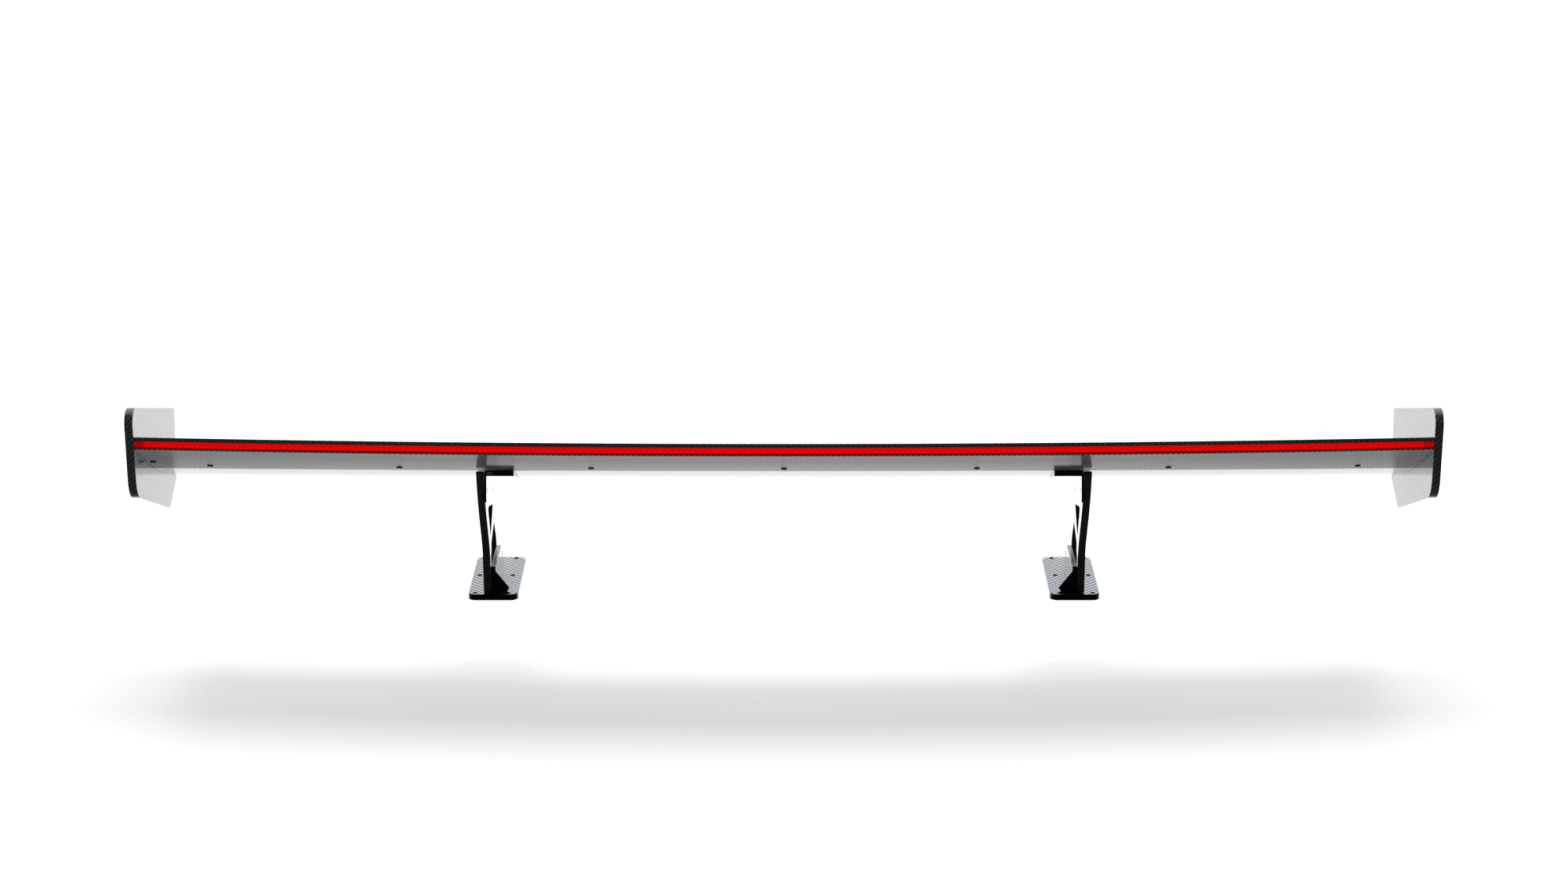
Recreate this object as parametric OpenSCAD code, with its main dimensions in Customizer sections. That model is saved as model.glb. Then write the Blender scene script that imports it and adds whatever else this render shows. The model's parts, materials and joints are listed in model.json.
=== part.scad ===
// Racing rear wing: a bowed wing with a light bar in its trailing edge and an endplate on each
// end, carried by two truss uprights on bolted base brackets.
// X runs along the span, Y forwards and Z up. The origin is under the middle of the part, in the
// plane of the base plates' feet. Everything is shown with the wing at its lowest angle.

/* [Overall] */
// Width over both endplates
span = 1700; // [1660:10:1740]
// Distance between the middles of the two uprights
upright_spacing = 802; // [790:1:810]
// Height of the pivot bolts above the feet
pivot_height = 143.3; // [142:0.1:146]
// Distance of the pivot bolts ahead of the origin
pivot_y = 53.33; // [50:0.01:58]
// Nose-down angle of the wing against the base plates
wing_pitch = 17.9; // [17:0.1:19]
// How far the angle of attack can be raised from its lowest setting
pitch_travel = 8; // [2:1:8]

/* [Wing] */
// How far the middle of the wing sits behind its ends
bow = 50; // [40:1:55]
// How far the middle of the wing sits below its ends
drop = 3.5; // [2:0.5:5]
// How much lower again the trailing edge is in the middle
edge_drop = 5; // [3:0.5:6]
// Thickness of the wing's skins
skin = 1.6; // [1.4:0.1:1.8]
// Width of the seam between the rear panel and the nose skin
seam_gap = 1; // [0.6:0.1:1.4]
// Number of screws along the rear panel
panel_screw_count = 7; // [3:2:7]
// Distance between neighbouring panel screws
panel_screw_pitch = 253; // [220:1:258]

/* [Light bar] */
// Thickness of the carbon lip above the lens
lip = 4; // [3.6:0.1:4.2]
// Thickness of the lens from its face to its back
lens_depth = 4.6; // [4:0.1:4.8]
// Length of the unlit piece at each end of the lens
lens_end = 13; // [8:1:20]
// Number of light chips on the circuit board
led_count = 56; // [20:2:70]

/* [Endplates] */
// Thickness of an endplate
endplate_t = 11; // [9:0.5:12]

/* [Uprights] */
// Thickness of an upright
upright_t = 10; // [9:0.5:11]

/* [Wing brackets] */
// Thickness of the upright leg of a wing bracket
leg_t = 2.8; // [2.6:0.1:3.4]
// Width of a wing bracket's flange under the wing
flange_w = 36; // [32:0.5:40]
// Distance from the pivot bolt back to the angle clamp bolt
clamp_reach = 83; // [81:0.5:84]

/* [Base brackets] */
// Width of a base plate
plate_w = 68.5; // [66:0.5:72]
// Length of a base plate
plate_l = 152; // [150:0.5:158]
// Thickness of a base plate
plate_t = 8; // [6:0.5:9]
// Corner radius of a base plate
plate_corner = 11; // [6:1:12]
// Hole spacing across a base plate
hole_pitch_x = 45; // [43:0.5:46]
// Hole spacing along a base plate, from one hole to the next
hole_pitch_y = 68.5; // [66:0.5:69]
// Diameter of the mounting holes
mounting_hole_d = 6.5; // [6.2:0.1:6.6]
// Thickness of a base bracket's tab
tab_t = 5.6; // [5:0.1:6]
// Height of a base bracket's tab
tab_height = 41; // [38:0.5:42]
// Thickness of the gusset beside the tab
gusset_t = 4; // [3:0.5:6]

/* [Fasteners] */
// Diameter of the pivot and clamp bolts
bolt_d = 6; // [5.8:0.1:6]
// Radial clearance of the pivot bolts in their bores
pivot_clearance = 0.05; // [0.03:0.01:0.1]
// Diameter of the screws that hold the uprights to their tabs
tab_screw_d = 5; // [4.8:0.1:5]
// Diameter of the screws under the wing brackets' flanges
flange_screw_d = 4; // [3.8:0.1:4]
// Diameter of the panel screws
panel_screw_d = 4; // [3.8:0.1:4]

/* [Hidden] */

$fn = 48;

// Colours
carbon = "#1d1f22";
bare_metal = "#b9bcc0";
black_metal = "#2a2a2c";

// Places across the span, on the right-hand side
moving_gap = 0.2;
wing_half = span / 2 - endplate_t;
upright_x = (upright_spacing - upright_t) / 2;
outer_x = upright_x + upright_t;
leg_x = upright_x - moving_gap - leg_t;
flange_x = leg_x - flange_w;
tab_x = upright_x - 0.1 - tab_t;

// Fasteners: the pivot and clamp bolts are sunk head first in the uprights' outer faces and end
// flush with the brackets' inner faces
bolt_r = bolt_d / 2;
head_r = 5;
head_h = 3.4;
head_sink = head_h + 0.3;
bolt_length = outer_x - head_sink - leg_x;
washer_r = 5.5;
washer_t = 0.8;
bearing_gap = 0.1;
passing_gap = 0.2;
thread_gap = 0.05;
tip = 0.6;

// The wing's section at its ends, as [u, w]: u runs forwards along the wing and w up from it, both
// from the pivot. Three curves run from the trailing edge under the wing, round the nose and back.
under_curve = [[-192.8, 54.2], [-119.3, 41.2], [-17.7, 19.1], [37.3, 19.1]];
nose_curve = [[37.3, 19.1], [67.3, 19.1], [87.8, 25.4], [87.8, 35.4]];
top_curve = [[87.8, 35.4], [87.8, 49.2], [-119.8, 54], [-195.2, 70.3]];
curves = [under_curve, nose_curve, top_curve];

// Places on the section: 0 is the lower trailing edge, 1 the lowest point, 2 the nose and 3 the
// upper trailing edge
seam = 0.55;
screw_row = 0.465;
under_length = norm(under_curve[3] - under_curve[0]);
half_seam = seam_gap / 2 / under_length;
edge_top = top_curve[3];
edge_bottom = under_curve[0];
seam_u = bezier(under_curve, seam)[0];

function bezier(p, t) = pow(1 - t, 3) * p[0] + 3 * t * pow(1 - t, 2) * p[1]
    + 3 * t * t * (1 - t) * p[2] + pow(t, 3) * p[3];
function heading(p, t) = unit(pow(1 - t, 2) * (p[1] - p[0]) + 2 * t * (1 - t) * (p[2] - p[1])
    + t * t * (p[3] - p[2]));
function unit(v) = v / norm(v);
function turned(v) = [-v[1], v[0]];

// A point of the section, a depth d under the outer surface
function contour(s, d = 0) = let (i = min(floor(s), 2), t = s - i)
    bezier(curves[i], t) + d * turned(heading(curves[i], t));

// Points of the trailing edge, b forwards from its face: at a depth d under the upper surface,
// and at a height d over the rear panel's outer surface
face_down = unit(edge_bottom - edge_top);
top_rearwards = heading(top_curve, 1);
under_forwards = heading(under_curve, 0);
function under_lip(d, b) = edge_top + face_down * d / (face_down * turned(top_rearwards))
    - b * top_rearwards;
function over_panel(d, b) = edge_bottom + face_down * d / (face_down * turned(under_forwards))
    + b * under_forwards;

// A point of the wing's own plane as [y, z], with y from the pivot
function wing_point(u, w) = [cos(wing_pitch) * u + sin(wing_pitch) * w,
    pivot_height - sin(wing_pitch) * u + cos(wing_pitch) * w];
// The wing's bow at x: 1 in the middle, 0 at the ends
function bowed(x) = 1 - pow(x / wing_half, 2);
// A section point carried to x on the bowed wing, as [u, w]
function bowed_point(x, p) = let (
        m = bowed(x),
        f = max(0, (seam_u - p[0]) / (seam_u - edge_top[0])))
    [p[0] - bow * m, p[1] - drop * m - edge_drop * m * f];
function on_span(x, p) = let (q = bowed_point(x, p), r = wing_point(q[0], q[1])) [x, r[0], r[1]];
// Slope of the skin at x and s, in degrees
function skin_slope(x, s) = let (v = on_span(x, contour(s + 0.01)) - on_span(x, contour(s - 0.01)))
    atan2(v[2], v[1]);
function steps(from, to, n) = [for (i = [0 : n]) from + (to - from) * i / n];
// Bent strip between two depths along the section, as a closed outline
function strip(at, d0, d1) = concat([for (s = at) contour(s, d0)],
    [for (i = [len(at) - 1 : -1 : 0]) contour(at[i], d1)]);

// Outline with round corners, from corners given as [y, z, radius]
function rounded(c, n = 7) = [for (i = [0 : len(c) - 1]) let (
        p = [c[i][0], c[i][1]],
        last = c[(i + len(c) - 1) % len(c)],
        next = c[(i + 1) % len(c)],
        a = unit([last[0], last[1]] - p),
        b = unit([next[0], next[1]] - p),
        half = acos(a * b) / 2,
        middle = p + unit(a + b) * c[i][2] / sin(half),
        start = p + a * c[i][2] / tan(half) - middle,
        end = p + b * c[i][2] / tan(half) - middle,
        from = atan2(start[1], start[0]),
        sweep = (atan2(end[1], end[0]) - from + 540) % 360 - 180)
    each c[i][2] == 0 ? [p]
        : [for (k = [0 : n]) middle + c[i][2] * [cos(from + sweep * k / n), sin(from + sweep * k / n)]]];
function sharp(points) = [for (p = points) [p[0], p[1], 0]];

// Closed solid that carries a strip-shaped outline through stations across the span
module loft(stations, outline) {
    n = len(outline);
    m = len(stations);
    last = (m - 1) * n;
    points = [for (x = stations) for (p = outline) on_span(x, p)];
    sides = [for (j = [0 : m - 2]) for (i = [0 : n - 1]) let (
            a = j * n + i, b = j * n + (i + 1) % n, c = b + n, d = a + n)
        each [[a, d, c], [a, c, b]]];
    caps = [for (i = [0 : n / 2 - 2]) let (a = i, b = i + 1, c = n - 2 - i, d = n - 1 - i)
        each [[a, b, c], [a, c, d], [last + a, last + c, last + b], [last + a, last + d, last + c]]];
    polyhedron(points, concat(sides, caps));
}

function full_width(half) = steps(-half, half, 24);

// A flat shape in the [y, z] plane, given thickness t along X from x; y is from the pivot
module across(x, t) translate([x, pivot_y, 0]) rotate([90, 0, 90]) linear_extrude(t) children();
// Children with their Z axis along X at a [y, z] point, y from the pivot
module along_x(x, yz) translate([x, pivot_y + yz[0], yz[1]]) rotate([90, 0, 90]) children();
// Children standing on the skin at x and s, with Z pointing into the wing
module on_skin(x, s) {
    p = on_span(x, contour(s));
    translate([x, pivot_y + p[1], p[2]]) rotate([skin_slope(x, s), 0, 0]) children();
}
module from_pivot() translate([0, pivot_y, 0]) children();
module both_sides() {
    children();
    mirror([1, 0, 0]) children();
}

// Cap screw with its head's bearing face on Z = 0, the head below and the shank above
module cap_screw(length, r, cap_r, cap_h) difference() {
    rotate_extrude() polygon([[0, -cap_h], [cap_r - tip, -cap_h], [cap_r, tip - cap_h], [cap_r, 0],
        [r, 0], [r, length - tip], [r - tip, length], [0, length]]);
    translate([0, 0, -cap_h - 1]) cylinder(h = 1 + cap_h * 0.6, r = cap_r * 0.45, $fn = 6);
}
// Countersunk screw with the top of its head on Z = 0 and the shank above
module flush_screw(length, r) difference() {
    rotate_extrude() polygon([[0, 0], [flush_r(r), 0], [r, flush_r(r) - r], [r, length - tip],
        [r - tip, length], [0, length]]);
    translate([0, 0, -1]) cylinder(h = 1 + r * 0.7, r = r * 0.65, $fn = 6);
}
function flush_r(r) = r * 1.85;
// Countersunk hole for a flush screw, going up from Z = 0
module flush_hole(length, r) {
    translate([0, 0, -1]) cylinder(h = length + 1, r = r + passing_gap);
    translate([0, 0, -1])
        cylinder(h = flush_r(r) - r + 1, r1 = flush_r(r) + 1 + thread_gap, r2 = r + thread_gap);
}

// Points of the uprights are [y, z], with y from the pivot
rear_edge = [[-37.6, 66], [-42.6, 92], [-86.6, 140], [-94.6, 199.4]];
upright_outline = rounded(concat(
    [[-37.6, plate_t + 0.1, 4]],
    sharp([for (t = steps(0, 0.9, 9)) bezier(rear_edge, t)]),
    [concat(wing_point(-107.3, 26.3), 3), concat(wing_point(-60, 17.8), 0),
        concat(wing_point(-12, 12), 8), concat(wing_point(27, 6), 8)],
    [[56.4, 94.6, 0], [78.4, 57.5, 0], [86.4, 34, 20], [86.4, plate_t + 0.1, 8]]));
upper_window = rounded([[-46.6, 134, 4], [21.4, 115, 3], [-21.6, 83, 3]]);
lower_window = rounded([[-14.6, 72, 4], [30.4, 87, 3], [53.4, 58, 20], [60.4, 41, 5], [-22.6, 41, 5]]);
tab_screw_r = tab_screw_d / 2;
tab_screw_places = [[77, 23], [-15, 23]];
clamp_point = wing_point(-clamp_reach, 0);

// Curved slot of half-width r about the pivot, from the depth x outwards
module clamp_slot(x, r) along_x(x, [0, pivot_height]) {
    lowest = 180 - wing_pitch;
    depth = outer_x - x + 1;
    rotate([0, 0, lowest - pitch_travel]) rotate_extrude(angle = pitch_travel)
        translate([clamp_reach - r, 0]) square([2 * r, depth]);
    for (a = [lowest, lowest - pitch_travel])
        rotate([0, 0, a]) translate([clamp_reach, 0, 0]) cylinder(h = depth, r = r);
}

module upright_right() color(carbon) difference() {
    across(upright_x, upright_t) polygon(upright_outline);
    across(upright_x - 1, upright_t + 2) polygon(upper_window);
    across(upright_x - 1, upright_t + 2) polygon(lower_window);
    along_x(upright_x - 1, [0, pivot_height])
        cylinder(h = upright_t + 2, r = bolt_r + pivot_clearance);
    along_x(outer_x - head_sink - bearing_gap, [0, pivot_height])
        cylinder(h = head_sink + 1, r = head_r + passing_gap);
    clamp_slot(upright_x - 1, bolt_r + 2 * passing_gap);
    clamp_slot(outer_x - head_sink - washer_t - bearing_gap, washer_r + passing_gap);
    for (p = tab_screw_places)
        along_x(upright_x - 1, p) cylinder(h = upright_t + 2, r = tab_screw_r + thread_gap);
}
module upright_left() mirror([1, 0, 0]) upright_right();

// Middle of the base plate, with y from the pivot
plate_x = 393.3;
plate_y = 31.4;
// How far the hole pattern sits outside the plate's middle
hole_shift = 1.8;
// The plate's upper surface, less a little that joins the tab to it
root = plate_t - 1;
tab_outline = rounded([[-37.6, root, 0], [-25, tab_height, 3], [72, tab_height - 2.8, 9],
    [104, root, 0]]);
gusset_y = -30;
gusset_outline = [[tab_x + 1, root], [tab_x + 1, 36], [tab_x, 36], [tab_x - 18.3, 12.3],
    [tab_x - 14.6, root]];

module base_bracket_right() color(carbon) difference() {
    union() {
        translate([plate_x - plate_w / 2, pivot_y + plate_y - plate_l / 2, 0])
            linear_extrude(plate_t) polygon(rounded([[0, 0, plate_corner], [plate_w, 0, plate_corner],
                [plate_w, plate_l, plate_corner], [0, plate_l, plate_corner]]));
        across(tab_x, tab_t) polygon(tab_outline);
        intersection() {
            across(tab_x - 20, 21) polygon(tab_outline);
            translate([0, pivot_y + gusset_y + gusset_t, 0]) rotate([90, 0, 0])
                linear_extrude(gusset_t) polygon(gusset_outline);
        }
    }
    for (i = [-1, 1], j = [-1 : 1]) translate([plate_x + i * hole_pitch_x / 2 + hole_shift,
            pivot_y + plate_y + j * hole_pitch_y, -1])
        cylinder(h = plate_t + 2, d = mounting_hole_d);
    for (p = tab_screw_places) along_x(tab_x, p) flush_hole(tab_t + 1, tab_screw_r);
}
module base_bracket_left() mirror([1, 0, 0]) base_bracket_right();

module upright_screws() color(black_metal) both_sides()
    for (p = tab_screw_places) along_x(tab_x, p) flush_screw(outer_x - tab_x - 1, tab_screw_r);

// Bolt sunk in the upright's outer face at a [y, z] point, with its end in the wing bracket's leg
module sunk_bolt(yz) along_x(outer_x - head_sink, yz) rotate([180, 0, 0])
    cap_screw(bolt_length, bolt_r, head_r, head_h);
module pivot_bolts() color(black_metal) both_sides() sunk_bolt([0, pivot_height]);

skin_half = wing_half - 0.2;
inner_half = wing_half - 11;
under_skin = skin + 0.15;
lip_start = 2.935;
lip_reach = 12;
top_steps = concat([2.003, 2.03, 2.07, 2.12, 2.19], steps(2.27, 2.9, 7), [lip_start]);

module wing_upper_skin() color(carbon) from_pivot() loft(full_width(skin_half), concat(
    [for (s = top_steps) contour(s)], [contour(2.945), contour(3)],
    [under_lip(lip, 0), under_lip(lip, lip_reach)],
    [for (i = [len(top_steps) - 1 : -1 : 0]) contour(top_steps[i], skin)]));

// The wing brackets' flanges, as [u, w]
flange_gap = 0.4;
flange_rear = [-97, 19];
flange_front = [15, 11.7];
flange_corner = 2;
flange_slope = atan2(flange_front[1] - flange_rear[1], flange_front[0] - flange_rear[0]);
flange_screw_r = flange_screw_d / 2;
// Children standing on the flange's flat underside at its screw, with Z pointing into the wing
module at_flange_screw() {
    u = -61;
    q = wing_point(u, flange_rear[1] + (u - flange_rear[0]) * tan(flange_slope));
    translate([379, pivot_y + q[0], q[1]]) rotate([flange_slope - wing_pitch, 0, 0]) children();
}
module flange_screw_holes(gap) both_sides()
    at_flange_screw() cylinder(h = 14, r = flange_screw_r + gap);

panel_screw_r = panel_screw_d / 2;
module panel_screw_places() {
    half = (panel_screw_count - 1) / 2;
    for (i = [-half : half]) on_skin(i * panel_screw_pitch, screw_row) children();
}

module wing_nose_skin() color(carbon) difference() {
    from_pivot() loft(full_width(skin_half), strip(concat([seam + half_seam], steps(0.62, 0.98, 6),
        steps(1.05, 1.65, 6), [1.76, 1.88, 1.997]), 0, skin));
    flange_screw_holes(passing_gap);
}

grommet_x = -831;
grommet_row = 0.36;
grommet_r = 3.1;
module wing_rear_panel() color(carbon) difference() {
    from_pivot() loft(full_width(skin_half), strip(steps(0, seam - half_seam, 7), 0, skin));
    panel_screw_places() translate([0, 0, -2]) cylinder(h = 6, r = panel_screw_r + passing_gap);
    on_skin(grommet_x, grommet_row) translate([0, 0, -2]) cylinder(h = 6, r = grommet_r + passing_gap);
}

ledge_t = 2;
module panel_ledge() color(carbon) difference() {
    from_pivot() loft(full_width(inner_half),
        strip(steps(0.43, 0.62, 4), under_skin, under_skin + ledge_t));
    panel_screw_places() cylinder(h = 8, r = panel_screw_r + passing_gap);
}
module panel_screws() color(black_metal) panel_screw_places()
    translate([0, 0, -bearing_gap]) cap_screw(11, panel_screw_r, 4, 1.2);
module panel_screw_inserts() color(bare_metal) panel_screw_places()
    translate([0, 0, under_skin + ledge_t + 0.2]) difference() {
        union() {
            cylinder(h = 1, r = 5);
            cylinder(h = 7.5, r = 3.4);
        }
        translate([0, 0, -1]) cylinder(h = 10, r = panel_screw_r + thread_gap);
    }

spar_t = 2.2;
module front_spar() color(carbon) from_pivot() loft(full_width(inner_half), concat(
    [for (s = [1.03, 1.12, 1.2, 1.28, 2.23, 2.265, 2.3]) contour(s, under_skin)],
    [for (s = [2.3, 2.27, 2.238, 1.245, 1.18, 1.1, 1.03]) contour(s, under_skin + spar_t)]));

rib_t = 3;
rib_rise = under_skin + ledge_t + 0.3;
// Rib that fills the section from behind to front, clear of both skins
module rib(x, t, front_low, front_top) from_pivot() translate([x, 0, 0]) rotate([90, 0, 90])
    linear_extrude(t) polygon([for (p = concat(
        [for (s = steps(0.34, front_low, 8)) contour(s, rib_rise)],
        [for (s = steps(front_top, 2.72, 8)) contour(s, under_skin + 0.3)]))
        let (q = on_span(x + t / 2, p)) [q[1], q[2]]]);
module mounting_ribs() color(carbon) both_sides() for (x = [346, 400]) rib(x, rib_t, 0.98, 2.34);

end_rib_t = 9;
end_rib_x = wing_half - 0.5 - end_rib_t;
end_screw_r = 2.5;
end_screw_places = [[-120, 52], [-40, 38.5], [45, 32.5]];
module end_rib_right() difference() {
    rib(end_rib_x, end_rib_t, 1.2, 2.25);
    for (p = end_screw_places) along_x(end_rib_x - 1, wing_point(p[0], p[1]))
        cylinder(h = end_rib_t + 2, r = end_screw_r + thread_gap);
}
module end_ribs() color(bare_metal) both_sides() end_rib_right();

// Plates inside the nose skin that the wing brackets' screws are tapped into
module tapping_plates() color(bare_metal) difference() {
    both_sides() from_pivot() loft(steps(364, 394, 2),
        strip(steps(0.66, 0.98, 4), under_skin, under_skin + 5));
    flange_screw_holes(thread_gap);
}

// Light bar: outlines lie between the lip and the rear panel, from one depth behind the trailing
// edge's face to another, with a gap above and a gap below
function bar_section(above, below, rear, front) = [over_panel(skin + below, rear),
    over_panel(skin + below, front), under_lip(lip + above, front), under_lip(lip + above, rear)];
lens_face = 0.4;
lens_back = lens_face + lens_depth;
lens_half = wing_half - 0.3 - lens_end;
lens_outline = bar_section(0.2, 0.2, lens_face, lens_back);

module light_bar_lens() color("#cf0202") from_pivot() loft(full_width(lens_half), lens_outline);
module light_bar_end_caps() color("#960000") both_sides()
    from_pivot() loft(steps(lens_half + 0.1, wing_half - 0.2, 2), lens_outline);

housing_front = lens_back + 0.2;
housing_back = 17;
housing_wall = 1.2;
housing_gap = 0.6;
housing_outer = bar_section(housing_gap, housing_gap, housing_front, housing_back);
housing_inner = bar_section(housing_gap + housing_wall, housing_gap + housing_wall,
    housing_front, housing_back - housing_wall);
module light_bar_housing() color(bare_metal) from_pivot() loft(full_width(inner_half),
    concat(housing_outer, [for (i = [3 : -1 : 0]) housing_inner[i]]));

board_face = 13.4;
board_t = 1.2;
board_gap = housing_gap + housing_wall + 0.5;
module light_bar_board() color("#1f4d2b") from_pivot() loft(full_width(inner_half),
    bar_section(board_gap, board_gap, board_face, board_face + board_t));

led_size = [5, 1.6, 3];
led_depth = board_face - 0.3 - led_size[1] / 2;
led_lean = atan2(edge_bottom[0] - edge_top[0], edge_top[1] - edge_bottom[1]);
module light_bar_leds() color("#f2efe2") {
    reach = wing_half - 40;
    for (x = steps(-reach, reach, led_count - 1)) {
        p = on_span(x, (under_lip(lip, led_depth) + over_panel(skin, led_depth)) / 2);
        yaw = atan(2 * bow * x / pow(wing_half, 2));
        translate([x, pivot_y + p[1], p[2]]) rotate([-wing_pitch, 0, 0]) rotate([0, 0, yaw])
            rotate([led_lean, 0, 0]) cube(led_size, center = true);
    }
}

// Grommet whose lips clamp the rear panel's skin
module cable_grommet() color("#101010") on_skin(grommet_x, grommet_row) rotate_extrude()
    polygon([[0, -0.4], [grommet_r - 1.5, -1.3], [grommet_r, -1.3], [grommet_r + 1, -0.9],
        [grommet_r + 1, -0.15], [grommet_r, -0.15], [grommet_r, skin + 0.2],
        [grommet_r + 0.8, skin + 0.2], [grommet_r + 0.8, skin + 1.1], [0, skin + 1.1]]);

// Corners of an endplate as [y, z, radius], with y from the pivot
endplate_outline = rounded([[-165.6, 189.1, 34], [-165.6, 310.4, 20], [110.9, 224, 7],
    [100.4, 128, 9], [42.4, 102, 8]], 10);
module at_end_screws() for (p = end_screw_places)
    along_x(span / 2, wing_point(p[0], p[1])) rotate([180, 0, 0]) children();
module endplate_right() color(carbon) difference() {
    across(wing_half, endplate_t) polygon(endplate_outline);
    at_end_screws() flush_hole(endplate_t + 1, end_screw_r);
}
module endplate_left() mirror([1, 0, 0]) endplate_right();
module endplate_screws() color(black_metal) both_sides()
    at_end_screws() flush_screw(endplate_t + end_rib_t, end_screw_r);

// Upper side of a wing bracket, which follows the wing at x with a small gap
function flange_top(x) = [for (s = concat(steps(0.56, 0.98, 7), steps(1.04, 1.24, 4)))
    let (q = bowed_point(x, contour(s, -flange_gap)))
    if (q[0] < flange_front[0]) wing_point(q[0], q[1])];
module bracket_slab(x, t, low) across(x, t) polygon(concat(flange_top(x + t / 2), low));

leg_low = -16.3;
leg_corner = 6;
module wing_bracket_right() color(carbon) difference() {
    front_y = wing_point(flange_front[0], 10)[0];
    rear_y = wing_point(flange_rear[0], 30)[0];
    union() {
        intersection() {
            bracket_slab(flange_x, flange_w + 1,
                [for (p = [flange_front, flange_rear]) wing_point(p[0], p[1])]);
            translate([0, pivot_y, 0]) linear_extrude(400) polygon(rounded([
                [flange_x, rear_y, flange_corner], [leg_x + 2, rear_y, 0],
                [leg_x + 2, front_y + 10, 0], [flange_x, front_y, flange_corner]]));
        }
        bracket_slab(leg_x, leg_t, [for (p = rounded([[flange_front[0], flange_front[1], 0],
            [flange_front[0], leg_low, leg_corner], [flange_rear[0], leg_low, leg_corner],
            [flange_rear[0], flange_rear[1], 0]])) wing_point(p[0], p[1])]);
    }
    for (p = [[0, pivot_height], clamp_point])
        along_x(leg_x - 1, p) cylinder(h = leg_t + 2, r = bolt_r + thread_gap);
    at_flange_screw() flush_hole(14, flange_screw_r);
}
module wing_bracket_left() mirror([1, 0, 0]) wing_bracket_right();

module wing_bracket_screws() color(black_metal) both_sides()
    at_flange_screw() flush_screw(12, flange_screw_r);
module angle_clamp_bolts() color(black_metal) both_sides() sunk_bolt(clamp_point);
module angle_clamp_washers() color(bare_metal) both_sides()
    along_x(outer_x - head_sink - washer_t, clamp_point) difference() {
        cylinder(h = washer_t, r = washer_r);
        translate([0, 0, -1]) cylinder(h = washer_t + 2, r = bolt_r + passing_gap);
    }

base_bracket_left();
base_bracket_right();
upright_left();
upright_right();
upright_screws();
pivot_bolts();
wing_upper_skin();
wing_nose_skin();
wing_rear_panel();
panel_ledge();
panel_screws();
panel_screw_inserts();
front_spar();
mounting_ribs();
end_ribs();
tapping_plates();
light_bar_lens();
light_bar_end_caps();
light_bar_housing();
light_bar_board();
light_bar_leds();
cable_grommet();
endplate_left();
endplate_right();
endplate_screws();
wing_bracket_left();
wing_bracket_right();
wing_bracket_screws();
angle_clamp_bolts();
angle_clamp_washers();
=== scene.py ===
import json
import math

import bmesh
import bpy
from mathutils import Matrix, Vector


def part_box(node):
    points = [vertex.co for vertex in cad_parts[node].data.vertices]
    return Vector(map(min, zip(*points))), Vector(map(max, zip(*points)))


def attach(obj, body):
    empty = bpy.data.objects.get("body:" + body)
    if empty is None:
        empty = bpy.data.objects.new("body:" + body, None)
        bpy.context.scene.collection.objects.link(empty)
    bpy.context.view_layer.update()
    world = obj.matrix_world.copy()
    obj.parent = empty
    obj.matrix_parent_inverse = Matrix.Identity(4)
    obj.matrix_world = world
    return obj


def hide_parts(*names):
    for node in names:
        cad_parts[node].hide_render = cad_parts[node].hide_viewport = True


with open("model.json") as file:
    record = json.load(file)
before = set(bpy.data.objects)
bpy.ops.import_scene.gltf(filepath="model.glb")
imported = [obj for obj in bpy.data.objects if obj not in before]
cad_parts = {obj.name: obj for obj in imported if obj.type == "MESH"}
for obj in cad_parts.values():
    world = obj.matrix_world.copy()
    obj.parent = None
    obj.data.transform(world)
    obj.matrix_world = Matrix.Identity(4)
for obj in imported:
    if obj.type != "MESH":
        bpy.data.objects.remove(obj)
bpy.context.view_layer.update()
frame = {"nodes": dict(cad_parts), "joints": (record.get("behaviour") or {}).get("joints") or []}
nodes = frame["nodes"]
pivot = Vector(frame["joints"][0]["pos_m"])
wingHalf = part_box("endplate_right")[0].x
print("stage: frame loaded")


def asObject(bm, name):
    mesh = bpy.data.meshes.new(name)
    bm.to_mesh(mesh)
    bm.free()
    made = bpy.data.objects.new(name, mesh)
    bpy.context.scene.collection.objects.link(made)
    return made


def newMaterial(name, values):
    mat = bpy.data.materials.new(name)
    mat.use_nodes = True
    tree = mat.node_tree
    shader = tree.nodes["Principled BSDF"]
    for key, value in values.items():
        shader.inputs[key].default_value = value
    return mat, tree, shader


def calc(tree, kind, a, b=None, c=None):
    node = tree.nodes.new("ShaderNodeMath")
    node.operation = kind
    for socket, value in enumerate((a, b, c)):
        if value is None:
            continue
        if isinstance(value, (int, float)):
            node.inputs[socket].default_value = value
        else:
            tree.links.new(value, node.inputs[socket])
    return node.outputs[0]


def mixNumber(tree, factor, a, b):
    node = tree.nodes.new("ShaderNodeMix")
    node.data_type = "FLOAT"
    for socket, value in ((0, factor), (2, a), (3, b)):
        if isinstance(value, (int, float)):
            node.inputs[socket].default_value = value
        else:
            tree.links.new(value, node.inputs[socket])
    return node.outputs[0]


def mixColour(tree, factor, a, b):
    node = tree.nodes.new("ShaderNodeMix")
    node.data_type = "RGBA"
    for socket, value in ((0, factor), (6, a), (7, b)):
        if isinstance(value, (int, float, tuple)):
            node.inputs[socket].default_value = value
        else:
            tree.links.new(value, node.inputs[socket])
    return node.outputs[2]


def easeBetween(tree, value, start, end, low, high):
    # eases from low at start to high at end
    ease = tree.nodes.new("ShaderNodeMapRange")
    ease.interpolation_type = "SMOOTHSTEP"
    ease.inputs["From Min"].default_value = start
    ease.inputs["From Max"].default_value = end
    ease.inputs["To Min"].default_value = low
    ease.inputs["To Max"].default_value = high
    tree.links.new(value, ease.inputs["Value"])
    return ease.outputs[0]


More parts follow.
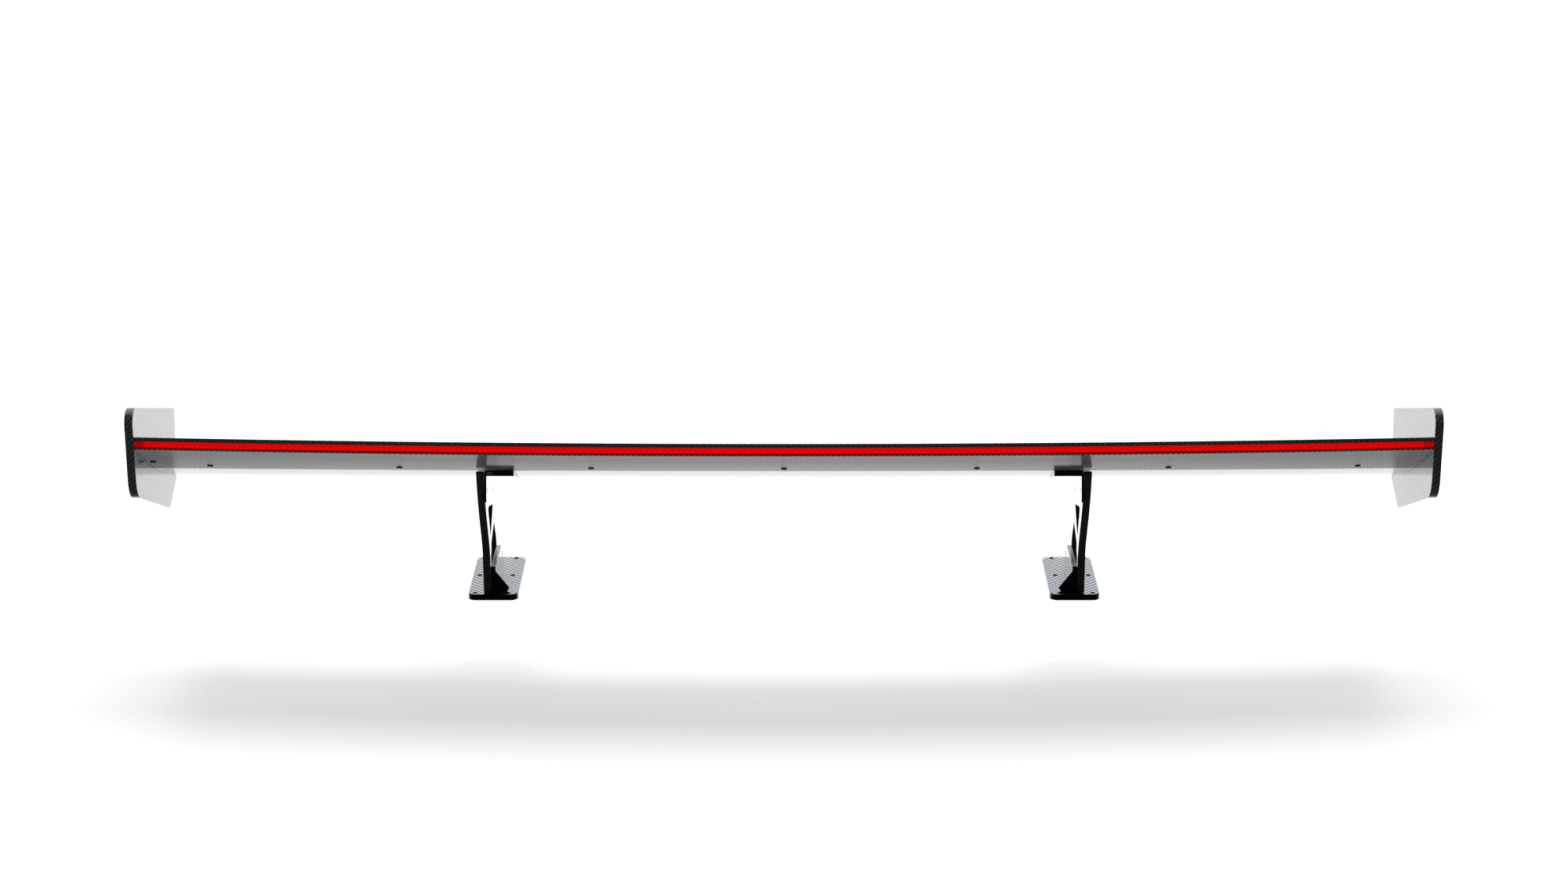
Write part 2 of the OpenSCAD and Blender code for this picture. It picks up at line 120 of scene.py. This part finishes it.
def addBump(tree, shader, height, strength, distance):
    bump = tree.nodes.new("ShaderNodeBump")
    bump.inputs["Strength"].default_value = strength
    bump.inputs["Distance"].default_value = distance
    tree.links.new(height, bump.inputs["Height"])
    tree.links.new(bump.outputs[0], shader.inputs["Normal"])


cameraPlace = {"lens": 73.3, "sensor": 36.0, "place": (0.0, -4.0303, 1.5308), "pitch": 17.9,
               "nearest": 0.05, "farthest": 200.0}


def makeCamera():
    data = bpy.data.cameras.new("camera")
    data.lens, data.sensor_width = cameraPlace["lens"], cameraPlace["sensor"]
    data.clip_start, data.clip_end = cameraPlace["nearest"], cameraPlace["farthest"]
    camera = bpy.data.objects.new("camera", data)
    camera.location = cameraPlace["place"]
    camera.rotation_euler = (math.radians(90 - cameraPlace["pitch"]), 0, 0)
    bpy.context.scene.collection.objects.link(camera)
    bpy.context.scene.camera = camera


# the floor's glow rises from its near value at glowFrom to farGlow at glowTo, with its width squashed; the
# weaker glow near the part is painted shadow
floorLook = {"drop": 0.14, "size": 60.0, "roughness": 0.9, "tone": 0.5,
             "paintedShadowGlow": 0.56, "farGlow": 0.95, "glowFrom": 0.5, "glowTo": 2.2, "squash": 0.6,
             "mirrorGain": 0.95, "darkFrom": -0.05, "darkTo": 0.3}


def makeFloor():
    # pale paper that glows a little, less round the part as painted shadow; seen in a mirror, it is painted
    # dark on the camera's side of the part, a painted reflection
    bm = bmesh.new()
    bmesh.ops.create_grid(bm, x_segments=1, y_segments=1, size=floorLook["size"] / 2)
    bmesh.ops.translate(bm, verts=bm.verts, vec=(0, 0, -floorLook["drop"]))
    floor = asObject(bm, "studioFloor")
    mat, tree, shader = newMaterial("floorPaper", {"Roughness": floorLook["roughness"],
                                                   "Specular IOR Level": 0.0,
                                                   "Emission Color": (1, 1, 1, 1)})
    coord = tree.nodes.new("ShaderNodeTexCoord")
    split = tree.nodes.new("ShaderNodeSeparateXYZ")
    rays = tree.nodes.new("ShaderNodeLightPath")
    tree.links.new(coord.outputs["Object"], split.inputs[0])
    x, y = split.outputs[0], split.outputs[1]
    mirrored = rays.outputs["Is Glossy Ray"]
    sideways = calc(tree, "POWER", calc(tree, "MULTIPLY", x, floorLook["squash"]), 2.0)
    away = calc(tree, "SQRT", calc(tree, "ADD", sideways, calc(tree, "POWER", y, 2.0)))
    # painted shadow: the glow is weaker close to the part
    glow = easeBetween(tree, away, floorLook["glowFrom"], floorLook["glowTo"],
                       floorLook["paintedShadowGlow"], floorLook["farGlow"])
    ahead = easeBetween(tree, y, floorLook["darkFrom"], floorLook["darkTo"], 0.0, 1.0)
    gain = mixNumber(tree, mirrored, 1.0, calc(tree, "MULTIPLY", ahead, floorLook["mirrorGain"]))
    tree.links.new(calc(tree, "MULTIPLY", glow, gain), shader.inputs["Emission Strength"])
    tone = calc(tree, "MULTIPLY", mixNumber(tree, mirrored, 1.0, ahead), floorLook["tone"])
    tree.links.new(mixColour(tree, tone, (0, 0, 0, 1), (1, 1, 1, 1)), shader.inputs["Base Color"])
    floor.data.materials.append(mat)


worldLook = {"dark": 0.004, "white": 1.2, "darkTo": -0.35, "whiteFrom": 0.45, "seen": 1.0}


def makeWorld():
    # white ahead and dark behind the camera, so that edges facing it stay black; seen directly, all white
    world = bpy.data.worlds.new("studio")
    world.use_nodes = True
    bpy.context.scene.world = world
    tree = world.node_tree
    tree.nodes.clear()
    where = tree.nodes.new("ShaderNodeTexCoord")
    split = tree.nodes.new("ShaderNodeSeparateXYZ")
    rays = tree.nodes.new("ShaderNodeLightPath")
    back = tree.nodes.new("ShaderNodeBackground")
    out = tree.nodes.new("ShaderNodeOutputWorld")
    tree.links.new(where.outputs["Generated"], split.inputs[0])
    lit = easeBetween(tree, split.outputs["Y"], worldLook["darkTo"], worldLook["whiteFrom"],
                      worldLook["dark"], worldLook["white"])
    strength = mixNumber(tree, rays.outputs["Is Camera Ray"], lit, worldLook["seen"])
    tree.links.new(strength, back.inputs["Strength"])
    tree.links.new(back.outputs[0], out.inputs[0])


keyLight = {"power": 62.0, "size": (2.6, 1.0), "height": 1.9}


def makeKeyLight():
    data = bpy.data.lights.new("overheadPanel", "AREA")
    data.shape = "RECTANGLE"
    data.size, data.size_y = keyLight["size"]
    data.energy = keyLight["power"]
    light = bpy.data.objects.new("overheadPanel", data)
    light.location = (0, 0, keyLight["height"])
    light.visible_glossy = False
    bpy.context.scene.collection.objects.link(light)


faceTurn = 0.7  # a normal's part past which a face counts as pointing that way


def facePlane(tree):
    # two coordinates in the plane of the face, in metres, picked by the way it points
    coord = tree.nodes.new("ShaderNodeTexCoord")
    spot = tree.nodes.new("ShaderNodeSeparateXYZ")
    points = tree.nodes.new("ShaderNodeSeparateXYZ")
    tree.links.new(coord.outputs["Object"], spot.inputs[0])
    tree.links.new(coord.outputs["Normal"], points.inputs[0])
    x, y, z = spot.outputs
    sideways = calc(tree, "GREATER_THAN", calc(tree, "ABSOLUTE", points.outputs[0]), faceTurn)
    upward = calc(tree, "GREATER_THAN", calc(tree, "ABSOLUTE", points.outputs[2]), faceTurn)
    first = mixNumber(tree, sideways, x, y)
    second = mixNumber(tree, upward, z, mixNumber(tree, sideways, y, z))
    return first, second


def uvPlane(tree):
    # along the span, then round the section, both in metres
    coord = tree.nodes.new("ShaderNodeTexCoord")
    spot = tree.nodes.new("ShaderNodeSeparateXYZ")
    tree.links.new(coord.outputs["UV"], spot.inputs[0])
    return spot.outputs[0], spot.outputs[1]


# what all the cloths share: tows in a repeat, their crown and dive, resin over them, gloss and relief
weave = {"repeat": 4.0, "over": 1.5, "crown": 2.4, "dive": 0.25, "resin": 0.2, "detail": 2.0,
         "weftRough": 1.25, "warpRough": 0.8, "relief": 0.25}
# the panel's shine runs from and to round the section, weak and strong, a painted reflection; the bracket's
# grazing is a painted sheen on the weave, unlit up to the first facing value, lit from the second
twillLooks = {
    "clear": {"mirrored": 0, "tow": 0.0019, "stretch": 1.0, "roughness": 0.3, "ior": 1.5, "coat": 1.0,
              "coatIor": 1.85, "coatRoughness": 0.02, "bump": 0.35, "grain": 900.0,
              "warpColour": (0.030, 0.032, 0.037, 1), "weftColour": (0.008, 0.009, 0.011, 1),
              "resin": (0.012, 0.013, 0.016, 1)},
    "panel": {"mirrored": -1, "tow": 0.0017, "stretch": 1.75, "roughness": 0.08, "ior": 1.03, "coat": 0.06,
              "coatIor": 1.5, "coatRoughness": 0.02, "bump": 0.12, "grain": 900.0,
              "warpColour": (0.12, 0.124, 0.13, 1), "weftColour": (0.006, 0.007, 0.008, 1),
              "resin": (0.02, 0.021, 0.025, 1), "paintedShine": (0.02, 0.13, 0.15, 0.45)},
    "bracket": {"mirrored": 1, "tow": 0.0023, "stretch": 1.0, "roughness": 0.12, "ior": 1.5, "coat": 1.0,
                "coatIor": 1.5, "coatRoughness": 0.02, "metallic": 0.9, "bump": 0.3, "grain": 900.0,
                "warpColour": (0.50, 0.58, 0.68, 1), "weftColour": (0.004, 0.005, 0.006, 1),
                "resin": (0.02, 0.021, 0.025, 1), "paintedSheen": (0.42, 0.68)},
}


def twill(name, look, plane):
    # 2 x 2 twill: two tows over, two under, stepping by one tow a row
    mat, tree, shader = newMaterial(name, {"IOR": look["ior"], "Metallic": look.get("metallic", 0.0),
                                           "Coat Weight": look["coat"], "Coat IOR": look["coatIor"],
                                           "Coat Roughness": look["coatRoughness"]})
    first, second = plane(tree)
    if look["mirrored"]:
        first = calc(tree, "MULTIPLY", calc(tree, "ABSOLUTE", first), look["mirrored"])
    p = calc(tree, "DIVIDE", first, look["tow"])
    q = calc(tree, "DIVIDE", second, look["tow"] * look["stretch"])
    step = calc(tree, "SUBTRACT", calc(tree, "FLOOR", p), calc(tree, "FLOOR", q))
    over = calc(tree, "LESS_THAN", calc(tree, "FLOORED_MODULO", step, weave["repeat"]), weave["over"])

    def crown(value):
        centred = calc(tree, "MULTIPLY_ADD", calc(tree, "FRACT", value), 2.0, -1.0)
        fall = calc(tree, "POWER", calc(tree, "ABSOLUTE", centred), weave["crown"])
        return calc(tree, "SUBTRACT", 1.0, fall)

    def rise(value, other):
        # a tow climbs out of one crossing and dives into the next
        past = calc(tree, "SUBTRACT", value, calc(tree, "FLOOR", other))
        run = calc(tree, "FLOORED_MODULO", past, weave["repeat"])
        return calc(tree, "SINE", calc(tree, "MULTIPLY", run, 2 * math.pi / weave["repeat"]))

    warp = calc(tree, "MULTIPLY_ADD", rise(q, p), -weave["dive"], crown(p))
    weft = calc(tree, "MULTIPLY_ADD", rise(p, q), weave["dive"], crown(q))
    height = mixNumber(tree, over, weft, warp)
    noise = tree.nodes.new("ShaderNodeTexNoise")
    noise.inputs["Scale"].default_value = look["grain"]
    noise.inputs["Detail"].default_value = weave["detail"]
    coord = tree.nodes.new("ShaderNodeTexCoord")
    tree.links.new(coord.outputs["Object"], noise.inputs["Vector"])
    tone = mixColour(tree, over, look["weftColour"], look["warpColour"])
    uneven = mixColour(tree, calc(tree, "MULTIPLY", noise.outputs[0], weave["resin"]), tone, look["resin"])
    if "paintedSheen" in look:
        # painted sheen: the weave's colour lights up only where it is seen at a low angle
        facing = tree.nodes.new("ShaderNodeLayerWeight")
        low = easeBetween(tree, facing.outputs["Facing"], *look["paintedSheen"], 0.0, 1.0)
        uneven = mixColour(tree, low, look["resin"], uneven)
    if "paintedShine" in look:
        # painted reflection: the warp's metallic shine grows towards the front, leaving the panel darker
        # near its trailing edge
        start, end, weak, strong = look["paintedShine"]
        lit = easeBetween(tree, second, start, end, weak, strong)
        tree.links.new(calc(tree, "MULTIPLY", over, lit), shader.inputs["Metallic"])
    tree.links.new(uneven, shader.inputs["Base Color"])
    rough = mixNumber(tree, over, look["roughness"] * weave["weftRough"],
                      look["roughness"] * weave["warpRough"])
    tree.links.new(rough, shader.inputs["Roughness"])
    addBump(tree, shader, height, look["bump"], look["tow"] * weave["relief"])
    return mat


grainDetail, grainDepth = 4.0, 0.0002
plainLooks = {
    "uprightBlack": {"grain": 260.0, "dark": (0.006, 0.006, 0.007, 1), "light": (0.012, 0.012, 0.013, 1),
                     "smooth": 0.12, "rough": 0.2, "bump": 0.05,
                     "fixed": {"Coat Weight": 1.0, "Coat Roughness": 0.03}},
    "boltBlack": {"grain": 1500.0, "dark": (0.008, 0.008, 0.009, 1), "light": (0.02, 0.02, 0.022, 1),
                  "smooth": 0.3, "rough": 0.45, "bump": 0.15, "fixed": {"IOR": 1.15}},
    "zincSteel": {"grain": 900.0, "dark": (0.32, 0.33, 0.35, 1), "light": (0.55, 0.56, 0.58, 1),
                  "smooth": 0.28, "rough": 0.45, "bump": 0.1, "fixed": {"Metallic": 1.0}},
    "bareAluminium": {"grain": 500.0, "dark": (0.6, 0.61, 0.63, 1), "light": (0.74, 0.75, 0.77, 1),
                      "smooth": 0.28, "rough": 0.42, "bump": 0.1, "stretch": (0.05, 1, 1),
                      "fixed": {"Metallic": 1.0}},
    "circuitBoard": {"grain": 700.0, "dark": (0.01, 0.07, 0.03, 1), "light": (0.02, 0.13, 0.05, 1),
                     "smooth": 0.25, "rough": 0.4, "bump": 0.2},
    "ledBody": {"grain": 900.0, "dark": (0.75, 0.7, 0.5, 1), "light": (0.9, 0.87, 0.75, 1),
                "smooth": 0.3, "rough": 0.5, "bump": 0.05},
    "grommetRubber": {"grain": 1200.0, "dark": (0.008, 0.008, 0.008, 1), "light": (0.02, 0.02, 0.02, 1),
                      "smooth": 0.6, "rough": 0.8, "bump": 0.3},
}


def plain(name, look):
    # paint, rubber, metal or plastic with a little unevenness in colour, gloss and surface
    mat, tree, shader = newMaterial(name, look.get("fixed", {}))
    coord = tree.nodes.new("ShaderNodeTexCoord")
    stretch = tree.nodes.new("ShaderNodeMapping")
    stretch.inputs["Scale"].default_value = look.get("stretch", (1, 1, 1))
    noise = tree.nodes.new("ShaderNodeTexNoise")
    noise.inputs["Scale"].default_value = look["grain"]
    noise.inputs["Detail"].default_value = grainDetail
    tree.links.new(coord.outputs["Object"], stretch.inputs["Vector"])
    tree.links.new(stretch.outputs[0], noise.inputs["Vector"])
    colour = mixColour(tree, noise.outputs[0], look["dark"], look["light"])
    rough = mixNumber(tree, noise.outputs[0], look["smooth"], look["rough"])
    tree.links.new(colour, shader.inputs["Base Color"])
    tree.links.new(rough, shader.inputs["Roughness"])
    addBump(tree, shader, noise.outputs[0], look["bump"], grainDepth)
    return mat


# the wing's section as in the frame: u forwards along the wing, w up from it, from the pivot
section = {"pitch": 17.9, "bow": 0.050, "drop": 0.0035, "edgeDrop": 0.005, "skin": 0.0016, "lip": 0.004,
           "seam": 0.55, "seamGap": 0.0010,
           "under": ((-0.1928, 0.0542), (-0.1193, 0.0412), (-0.0177, 0.0191), (0.0373, 0.0191)),
           "nose": ((0.0373, 0.0191), (0.0673, 0.0191), (0.0878, 0.0254), (0.0878, 0.0354)),
           "top": ((0.0878, 0.0354), (0.0878, 0.0492), (-0.1198, 0.0540), (-0.1952, 0.0703))}


def bezier(points, t):
    a, b, c, d = (Vector(p) for p in points)
    return (1 - t) ** 3 * a + 3 * t * (1 - t) ** 2 * b + 3 * t * t * (1 - t) * c + t ** 3 * d


def heading(points, t):
    a, b, c, d = (Vector(p) for p in points)
    return ((1 - t) ** 2 * (b - a) + 2 * t * (1 - t) * (c - b) + t * t * (d - c)).normalized()


def contour(s, depth=0.0):
    # 0 lower trailing edge, 1 lowest point, 2 nose, 3 upper trailing edge
    part = min(int(s), 2)
    curve = section[("under", "nose", "top")[part]]
    way = heading(curve, s - part)
    return bezier(curve, s - part) + depth * Vector((-way.y, way.x))


edgeTop, edgeLow = Vector(section["top"][3]), Vector(section["under"][0])
edgeDown = (edgeLow - edgeTop).normalized()
seamU = bezier(section["under"], section["seam"]).x


def underLip(depth, into):
    # a depth under the upper surface, and so far forwards from the trailing edge's face
    back = heading(section["top"], 1)
    return edgeTop + edgeDown * (depth / edgeDown.dot(Vector((-back.y, back.x)))) - into * back


def overPanel(rise, into):
    # the same, but a rise over the lower surface
    ahead = heading(section["under"], 0)
    return edgeLow + edgeDown * (rise / edgeDown.dot(Vector((-ahead.y, ahead.x)))) + into * ahead


def onSpan(x, p):
    # carries a section point to x on the bowed wing
    m = 1 - (x / wingHalf) ** 2
    f = max(0.0, (seamU - p[0]) / (seamU - edgeTop.x))
    u = p[0] - section["bow"] * m
    w = p[1] - section["drop"] * m - section["edgeDrop"] * m * f
    c, s = math.cos(math.radians(section["pitch"])), math.sin(math.radians(section["pitch"]))
    return Vector((x, pivot.y + c * u + s * w, pivot.z - s * u + c * w))


def spread(start, end, count):
    return [start + (end - start) * i / count for i in range(count + 1)]


cornerLook = {"sharpFrom": 0.6, "share": 0.45, "steps": 3}  # turn in radians, share of a side, steps round


def softened(ring, radius):
    # the same closed outline with its sharp corners rounded
    made = []
    for i, p in enumerate(ring):
        a, b = ring[i - 1] - p, ring[(i + 1) % len(ring)] - p
        if math.pi - a.angle(b) < cornerLook["sharpFrom"]:
            made.append(p)
            continue
        reach = min(radius, a.length * cornerLook["share"], b.length * cornerLook["share"])
        start, end = p + a.normalized() * reach, p + b.normalized() * reach
        for t in spread(0.0, 1.0, cornerLook["steps"]):
            made.append((1 - t) ** 2 * start + 2 * t * (1 - t) * p + t * t * end)
    return made


def smoothed(piece, angle=35):
    for face in piece.data.polygons:
        face.use_smooth = True
    piece.data.set_sharp_from_angle(angle=math.radians(angle))


def sweep(name, ring, first, last, slices):
    # pulls a closed outline of the section along the span, then bows it
    bm = bmesh.new()
    arc = bm.verts.layers.float.new("arc")
    verts, run = [], 0.0
    for i, p in enumerate(ring):
        run += (p - ring[i - 1]).length if i else 0.0
        vert = bm.verts.new((first, p[0], p[1]))
        vert[arc] = run
        verts.append(vert)
    edges = [bm.edges.new((verts[i - 1], verts[i])) for i in range(len(verts))]
    bmesh.ops.contextual_create(bm, geom=edges)
    for _ in range(slices):
        made = bmesh.ops.extrude_edge_only(bm, edges=edges)["geom"]
        moved = [g for g in made if isinstance(g, bmesh.types.BMVert)]
        bmesh.ops.translate(bm, verts=moved, vec=((last - first) / slices, 0, 0))
        ends = set(moved)
        edges = [g for g in made if isinstance(g, bmesh.types.BMEdge) and set(g.verts) <= ends]
    bmesh.ops.contextual_create(bm, geom=edges)
    uv = bm.loops.layers.uv.new("weave")
    for face in bm.faces:
        for loop in face.loops:
            loop[uv].uv = (loop.vert.co.x, loop.vert[arc])
    for vert in bm.verts:
        vert.co = onSpan(vert.co.x, (vert.co.y, vert.co.z))
    bmesh.ops.recalc_face_normals(bm, faces=bm.faces)
    piece = asObject(bm, name)
    smoothed(piece)
    return piece


def place(piece, body, replaced, mat):
    piece.data.materials.clear()
    piece.data.materials.append(mat)
    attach(piece, body)
    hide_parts(replaced)


# each run is from and to along the contour, and its steps; the lip's underside is lipInto long
skinLook = {"slices": 96, "endGap": 0.0002, "corner": 0.0006, "rearSteps": 26, "frontSteps": 16,
            "noseRun": (1.03, 1.997, 26), "overNose": (2.003, 2.3, 12), "alongTop": (2.33, 2.93, 18),
            "nearEdge": 2.95, "lipCorner": 0.0012, "lipInto": 0.012}


def skinRing(at, depth):
    return [contour(s) for s in at] + [contour(s, depth) for s in reversed(at)]


def makeSkins():
    half = wingHalf - skinLook["endGap"]
    gap = section["seamGap"] / 2 / (Vector(section["under"][3]) - Vector(section["under"][0])).length
    rear = skinRing(spread(0.0, section["seam"] - gap, skinLook["rearSteps"]), section["skin"])
    panel = sweep("underPanel", softened(rear, skinLook["corner"]), -half, half, skinLook["slices"])
    place(panel, "wing", "wing_rear_panel", materials["panel"])
    front = spread(section["seam"] + gap, 1.0, skinLook["frontSteps"]) + spread(*skinLook["noseRun"])
    nose = sweep("noseShell", softened(skinRing(front, section["skin"]), skinLook["corner"]),
                 -half, half, skinLook["slices"])
    place(nose, "wing", "wing_nose_skin", materials["skin"])
    over = spread(*skinLook["overNose"]) + spread(*skinLook["alongTop"])
    lipRing = [contour(s) for s in over] + [contour(skinLook["nearEdge"]), contour(3),
                                            underLip(section["lip"], 0),
                                            underLip(section["lip"], skinLook["lipInto"])]
    lipRing += [contour(s, section["skin"]) for s in reversed(over)]
    upper = sweep("upperShell", softened(lipRing, skinLook["lipCorner"]), -half, half, skinLook["slices"])
    place(upper, "wing", "wing_upper_skin", materials["skin"])


lensLook = {"gap": 0.0002, "face": 0.0004, "depth": 0.0046, "corner": 0.0008, "slices": 96,
            "stripInset": 0.0003, "endInset": 0.0002, "joint": 0.0001, "endLength": 0.013, "endSlices": 4}
lensHigh, lensLow = section["lip"] + lensLook["gap"], section["skin"] + lensLook["gap"]
lensHalf = (underLip(lensHigh, 0) - overPanel(lensLow, 0)).length / 2
lensShade = {"middle": lensLook["depth"] + lensHalf, "halfLit": lensHalf - 0.0018, "halfFace": lensHalf,
             "edge": 0.15, "flutes": 900.0, "ripple": 0.02, "tooth": 0.0072, "toothDepth": 0.2,
             "red": (0.62, 0.0006, 0.0006, 1), "paintedShadeBody": (0.02, 0, 0, 1), "paintedShadeGlow": (0.01, 0, 0, 1),
             "glow": 0.5}
# painted shade: a darker red for the strip's last stretch at each end, beside the endplates
shadedEndRed = (0.36, 0.0004, 0.0004, 1)


def redLens(name, look):
    # lit red acrylic: bright across the middle of the strip, darker towards the lips, which is painted
    # shade under the lips
    mat, tree, shader = newMaterial(name, {"Roughness": 0.12, "Coat Weight": 0.5, "Coat Roughness": 0.04,
                                           "Specular IOR Level": 0.3, "Emission Strength": look["glow"]})
    along, across = uvPlane(tree)
    centred = calc(tree, "ABSOLUTE", calc(tree, "SUBTRACT", across, look["middle"]))
    # the lower edge shows the teeth of the reflector behind it
    tooth = calc(tree, "PINGPONG", along, look["tooth"] / 2)
    lower = calc(tree, "GREATER_THAN", across, look["middle"])
    bite = calc(tree, "MULTIPLY", calc(tree, "MULTIPLY", tooth, lower), look["toothDepth"])
    # painted shade: colour and glow fall towards the lips
    fall = easeBetween(tree, calc(tree, "ADD", centred, bite), look["halfLit"], look["halfFace"],
                       1.0, look["edge"])
    flutes = calc(tree, "SINE", calc(tree, "MULTIPLY", along, look["flutes"]))
    ripple = calc(tree, "MULTIPLY_ADD", flutes, look["ripple"], 1 - look["ripple"])
    glow = calc(tree, "MULTIPLY", fall, ripple)
    tree.links.new(mixColour(tree, glow, look["paintedShadeBody"], look["red"]), shader.inputs["Base Color"])
    tree.links.new(mixColour(tree, glow, look["paintedShadeGlow"], look["red"]), shader.inputs["Emission Color"])
    return mat


def lensRing():
    near = lensLook["face"]
    far = near + lensLook["depth"]
    return softened([underLip(lensHigh, far), underLip(lensHigh, near),
                     overPanel(lensLow, near), overPanel(lensLow, far)], lensLook["corner"])


def makeLightBar():
    half = wingHalf - lensLook["stripInset"] - lensLook["endLength"]
    lens = sweep("lensStrip", lensRing(), -half, half, lensLook["slices"])
    place(lens, "wing", "light_bar_lens", materials["lens"])
    for side, label in ((-1, "Left"), (1, "Right")):
        ends = sorted((side * (half + lensLook["joint"]), side * (wingHalf - lensLook["endInset"])))
        cap = sweep("lensEnd" + label, lensRing(), ends[0], ends[1], lensLook["endSlices"])
        place(cap, "wing", "light_bar_end_caps", materials["lensEnd"])


finishes = {
    "base_bracket_left": "bracket", "base_bracket_right": "bracket", "upright_left": "uprightBlack",
    "upright_right": "uprightBlack", "wing_bracket_left": "bracket", "wing_bracket_right": "bracket",
    "endplate_left": "plate", "endplate_right": "plate", "panel_ledge": "plate", "front_spar": "plate",
    "mounting_ribs": "plate", "end_ribs": "bareAluminium", "tapping_plates": "bareAluminium",
    "light_bar_housing": "bareAluminium", "light_bar_board": "circuitBoard", "light_bar_leds": "ledBody",
    "cable_grommet": "grommetRubber", "upright_screws": "boltBlack", "pivot_bolts": "boltBlack",
    "panel_screws": "boltBlack", "endplate_screws": "boltBlack", "wing_bracket_screws": "boltBlack",
    "angle_clamp_bolts": "boltBlack", "angle_clamp_washers": "zincSteel",
    "panel_screw_inserts": "bareAluminium",
}


def dressNodes():
    for name, finish in finishes.items():
        part = nodes[name]
        part.data.materials.clear()
        part.data.materials.append(materials[finish])


# frame pieces that get broken edges; where a rim height is given, only the rim at that height is broken
edgeBreaks = {
    "base_bracket": {"width": 0.002, "rimHeight": 0.008, "segments": 4, "body": "supports",
                     "slot": "bracket_twill"},
    "upright": {"width": 0.0005, "segments": 3, "body": "supports", "slot": "upright_black"},
    "wing_bracket": {"width": 0.0004, "segments": 3, "body": "wing", "slot": "bracket_twill"},
    "endplate": {"width": 0.0012, "segments": 3, "body": "wing", "slot": "carbon_twill"},
}
# distances in metres, angles in degrees, and the weighted normals' own weight
edgeRules = {"merge": 0.00001, "flat": 1, "sharp": 50, "shortest": 0.0015, "shade": 40, "weight": 100}


def sharpEdges(bm):
    return [e for e in bm.edges if len(e.link_faces) == 2
            and e.calc_face_angle_signed(0.0) > math.radians(edgeRules["sharp"])]


def onRim(edge, height):
    return (edge.calc_length() > edgeRules["shortest"]
            and all(abs(v.co.z - height) < edgeRules["merge"] for v in edge.verts))


def makeEdged():
    # copies of the frame's plates with their sharp edges broken
    for stem, look in edgeBreaks.items():
        for side in ("left", "right"):
            name = f"{stem}_{side}"
            source = nodes[name]
            bm = bmesh.new()
            bm.from_mesh(source.data)
            bm.transform(source.matrix_world)
            bmesh.ops.remove_doubles(bm, verts=bm.verts, dist=edgeRules["merge"])
            bmesh.ops.dissolve_limit(bm, angle_limit=math.radians(edgeRules["flat"]), verts=bm.verts,
                                     edges=bm.edges)
            chosen = sharpEdges(bm)
            if "rimHeight" in look:
                chosen = [e for e in chosen if onRim(e, look["rimHeight"])]
            bmesh.ops.bevel(bm, geom=chosen, offset=look["width"], segments=look["segments"], profile=0.5,
                            affect="EDGES", material=-1, clamp_overlap=True)
            piece = asObject(bm, f"{stem}Edged{side.capitalize()}")
            smoothed(piece, edgeRules["shade"])
            weights = piece.modifiers.new("weights", "WEIGHTED_NORMAL")
            weights.keep_sharp = True
            weights.weight = edgeRules["weight"]
            place(piece, look["body"], name, materials[finishes[name]])


makeCamera()
makeWorld()
makeKeyLight()
makeFloor()
bpy.context.scene.view_settings.view_transform = "Standard"
print("stage: camera, floor and light")

materials = {name: plain(name, look) for name, look in plainLooks.items()}
materials["plate"] = twill("plateTwill", twillLooks["clear"], facePlane)
materials["skin"] = twill("skinTwill", twillLooks["clear"], uvPlane)
materials["panel"] = twill("panelTwill", twillLooks["panel"], uvPlane)
materials["bracket"] = twill("bracketTwill", twillLooks["bracket"], facePlane)
materials["lens"] = redLens("redLens", lensShade)
materials["lensEnd"] = redLens("redLensShadedEnd", {**lensShade, "red": shadedEndRed})
print("stage: materials")

makeSkins()
makeLightBar()
dressNodes()
makeEdged()
print("stage: pieces")
